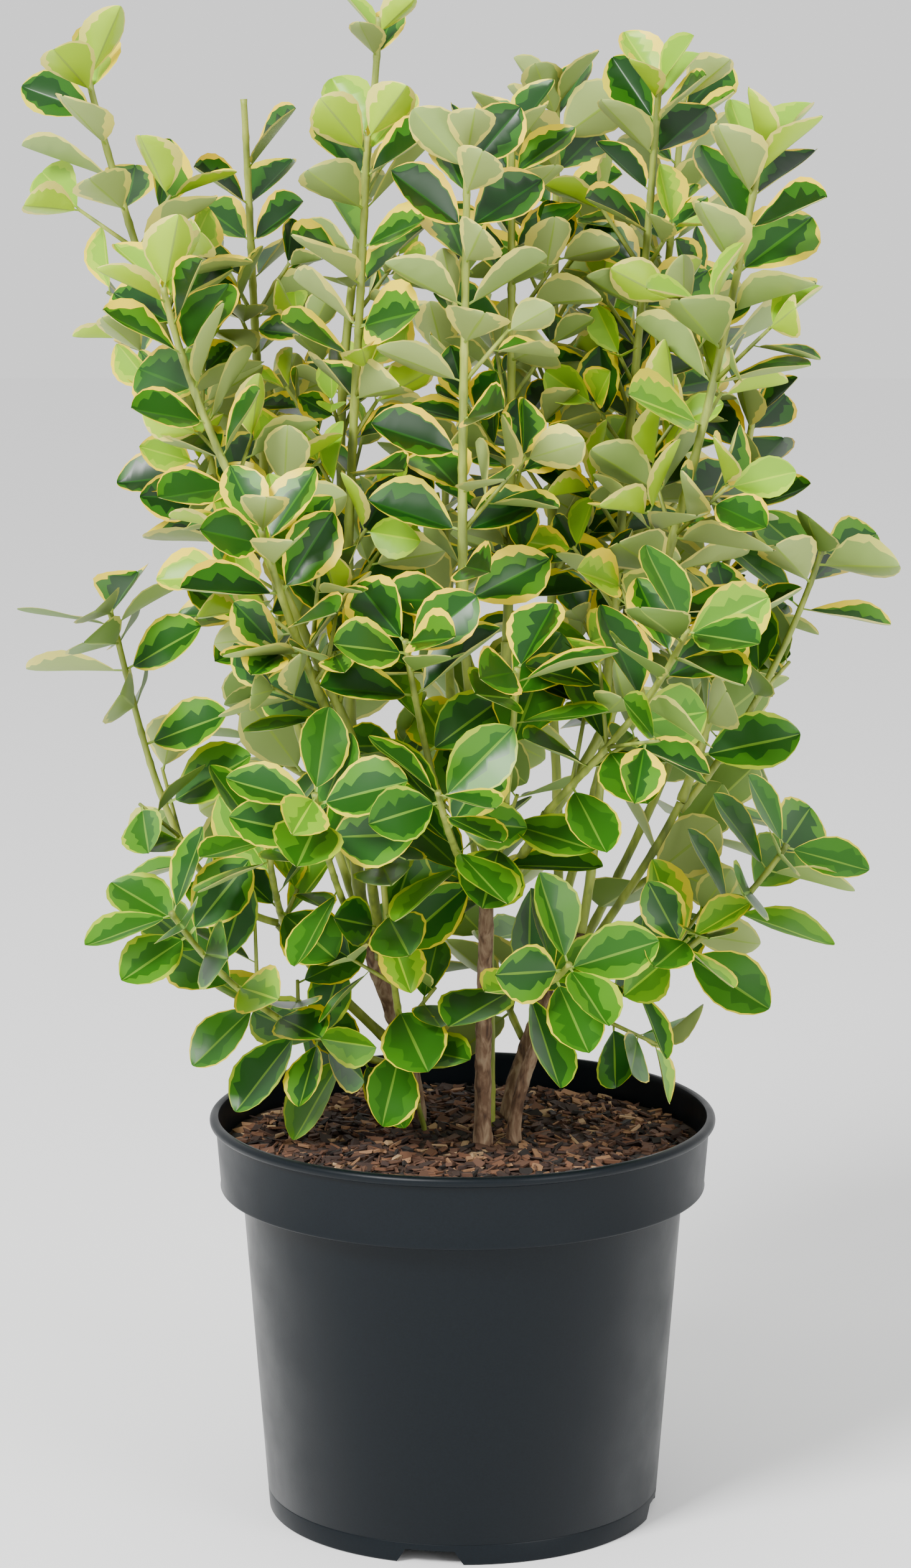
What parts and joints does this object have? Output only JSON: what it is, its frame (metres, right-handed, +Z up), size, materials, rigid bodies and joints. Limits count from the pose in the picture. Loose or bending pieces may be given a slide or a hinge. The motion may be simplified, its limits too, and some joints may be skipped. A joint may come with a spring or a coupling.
{
  "type": "potted shrub",
  "caption": "Upright evergreen shrub with cream and yellow edged leaves on bare stems, growing in a round tapered nursery pot with a deep collar.",
  "frame": {"origin": "centre of the pot's flat underside", "axes": "+Z up, -Y towards the front of the plant, +X to its right as seen from the front"},
  "size_m": [0.4902, 0.4187, 0.8338],
  "materials": {
    "pot_plastic": "dark slate, semi-gloss",
    "bark_mulch": "loose bark chips",
    "brown_bark": "rough bark",
    "green_bark": "smooth young bark",
    "leaf_green": "glossy leaf, edged yellow"
  },
  "bodies": {
    "root": {"bough_back": "green_bark", "bough_back_left": "green_bark", "bough_far_left": "green_bark", "bough_far_right": "green_bark", "bough_far_right_back": "green_bark", "bough_front_right": "green_bark", "bough_left": "green_bark", "bough_left_back": "green_bark", "bough_low_left": "green_bark", "bough_mid_back": "green_bark", "bough_mid_left": "green_bark", "bough_mid_right": "green_bark", "bough_middle": "green_bark", "bough_right": "green_bark", "bough_right_back": "green_bark", "bough_side_right": "green_bark", "bough_tallest": "green_bark", "leaves_back": "leaf_green", "leaves_back_left": "leaf_green", "leaves_back_right": "leaf_green", "leaves_far_left": "leaf_green", "leaves_far_right": "leaf_green", "leaves_far_right_back": "leaf_green", "leaves_foot": "leaf_green", "leaves_front_centre": "leaf_green", "leaves_front_left": "leaf_green", "leaves_front_mid": "leaf_green", "leaves_front_right": "leaf_green", "leaves_front_upper": "leaf_green", "leaves_left": "leaf_green", "leaves_left_back": "leaf_green", "leaves_left_front": "leaf_green", "leaves_left_side": "leaf_green", "leaves_low_back": "leaf_green", "leaves_low_back_left": "leaf_green", "leaves_low_back_right": "leaf_green", "leaves_low_front": "leaf_green", "leaves_low_inner": "leaf_green", "leaves_low_left": "leaf_green", "leaves_low_middle": "leaf_green", "leaves_low_right": "leaf_green", "leaves_mid_back": "leaf_green", "leaves_mid_left": "leaf_green", "leaves_mid_low_left": "leaf_green", "leaves_mid_right": "leaf_green", "leaves_middle": "leaf_green", "leaves_right": "leaf_green", "leaves_right_back": "leaf_green", "leaves_right_inner": "leaf_green", "leaves_right_side": "leaf_green", "leaves_tallest": "leaf_green", "pot": "pot_plastic", "soil": "bark_mulch", "stem_back": "brown_bark", "stem_centre": "brown_bark", "stem_front": "green_bark", "stem_green": "green_bark", "stem_left": "brown_bark", "stem_right": "brown_bark"}
  },
  "joints": []
}
